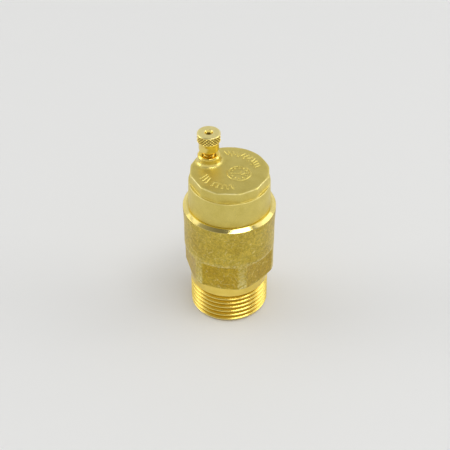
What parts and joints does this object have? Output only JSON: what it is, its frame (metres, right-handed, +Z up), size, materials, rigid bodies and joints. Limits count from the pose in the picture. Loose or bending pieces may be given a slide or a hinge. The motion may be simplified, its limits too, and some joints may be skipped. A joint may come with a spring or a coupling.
{
  "type": "automatic air vent",
  "caption": "Float-type automatic air vent for water pipes: round brass body with male thread and wrench flats, screwed-in cover, off-centre valve boss with a knurled screw cap.",
  "frame": {"origin": "centre of the threaded end face, on the body's axis, at the lowest point of the part", "axes": "+Z up the body's axis towards the cover; the valve boss stands 144.5 degrees anticlockwise from +X, seen from above"},
  "size_m": [0.0388, 0.0388, 0.0847],
  "materials": {
    "forged_brass": "hot-forged brass, blasted and tumbled, blotchy olive gold",
    "blasted_brass": "blasted matte brass",
    "turned_brass": "bright turned brass",
    "stainless_steel": "stamped stainless steel",
    "spring_steel": "drawn stainless wire",
    "black_rubber": "matte moulded rubber",
    "float_plastic": "natural moulded polypropylene",
    "washer_plastic": "white sealing plastic"
  },
  "bodies": {
    "root": {"body": "forged_brass", "cover": "blasted_brass", "cover_gasket": "black_rubber", "valve_nozzle": "turned_brass", "nozzle_washer": "washer_plastic", "lever_bracket": "stainless_steel", "lever_pivot_pin": "stainless_steel", "pivot_pin_clip": "stainless_steel", "stem_spring": "spring_steel"},
    "float": {"float_lower": "float_plastic", "float_upper": "float_plastic", "float_link": "stainless_steel"},
    "lever": {"lever": "stainless_steel", "link_pin": "stainless_steel", "link_pin_clip": "stainless_steel"},
    "stem": {"valve_stem": "turned_brass", "stem_seal": "black_rubber", "stem_clip": "stainless_steel"},
    "cap_disc": {"cap_seal": "black_rubber"},
    "cap": {"vent_cap": "turned_brass"}
  },
  "joints": [
    {"name": "float_rise", "type": "slide", "parent": "root", "child": "float", "axis": [0, 0, 1], "range_m": [0, 0.00434]},
    {"name": "lever_swing", "type": "hinge", "parent": "root", "child": "lever", "pos_m": [-0.01018, 0.00726, 0.057], "axis": [-0.5807, -0.8141, 0], "range_deg": [0, 20]},
    {"name": "stem_lift", "type": "slide", "parent": "root", "child": "stem", "axis": [0, 0, 1], "range_m": [0, 0.000764], "stiffness_N_per_m": 40, "springref_m": 0.0025, "deforming": ["stem_spring"]},
    {"name": "cap_rise", "type": "slide", "parent": "root", "child": "cap_disc", "axis": [0, 0, 1], "range_m": [0, 0.0016]},
    {"name": "cap_turn", "type": "hinge", "parent": "cap_disc", "child": "cap", "pos_m": [-0.00839, 0.00598, 0.08], "axis": [0, 0, 1], "range_deg": [0, 720]}
  ],
  "couplings": [
    {"joint": "lever_swing", "follows": "float_rise", "rad_per_m": 80.4},
    {"joint": "stem_lift", "follows": "float_rise", "ratio": 0.176},
    {"joint": "cap_turn", "follows": "cap_rise", "rad_per_m": 7854}
  ]
}
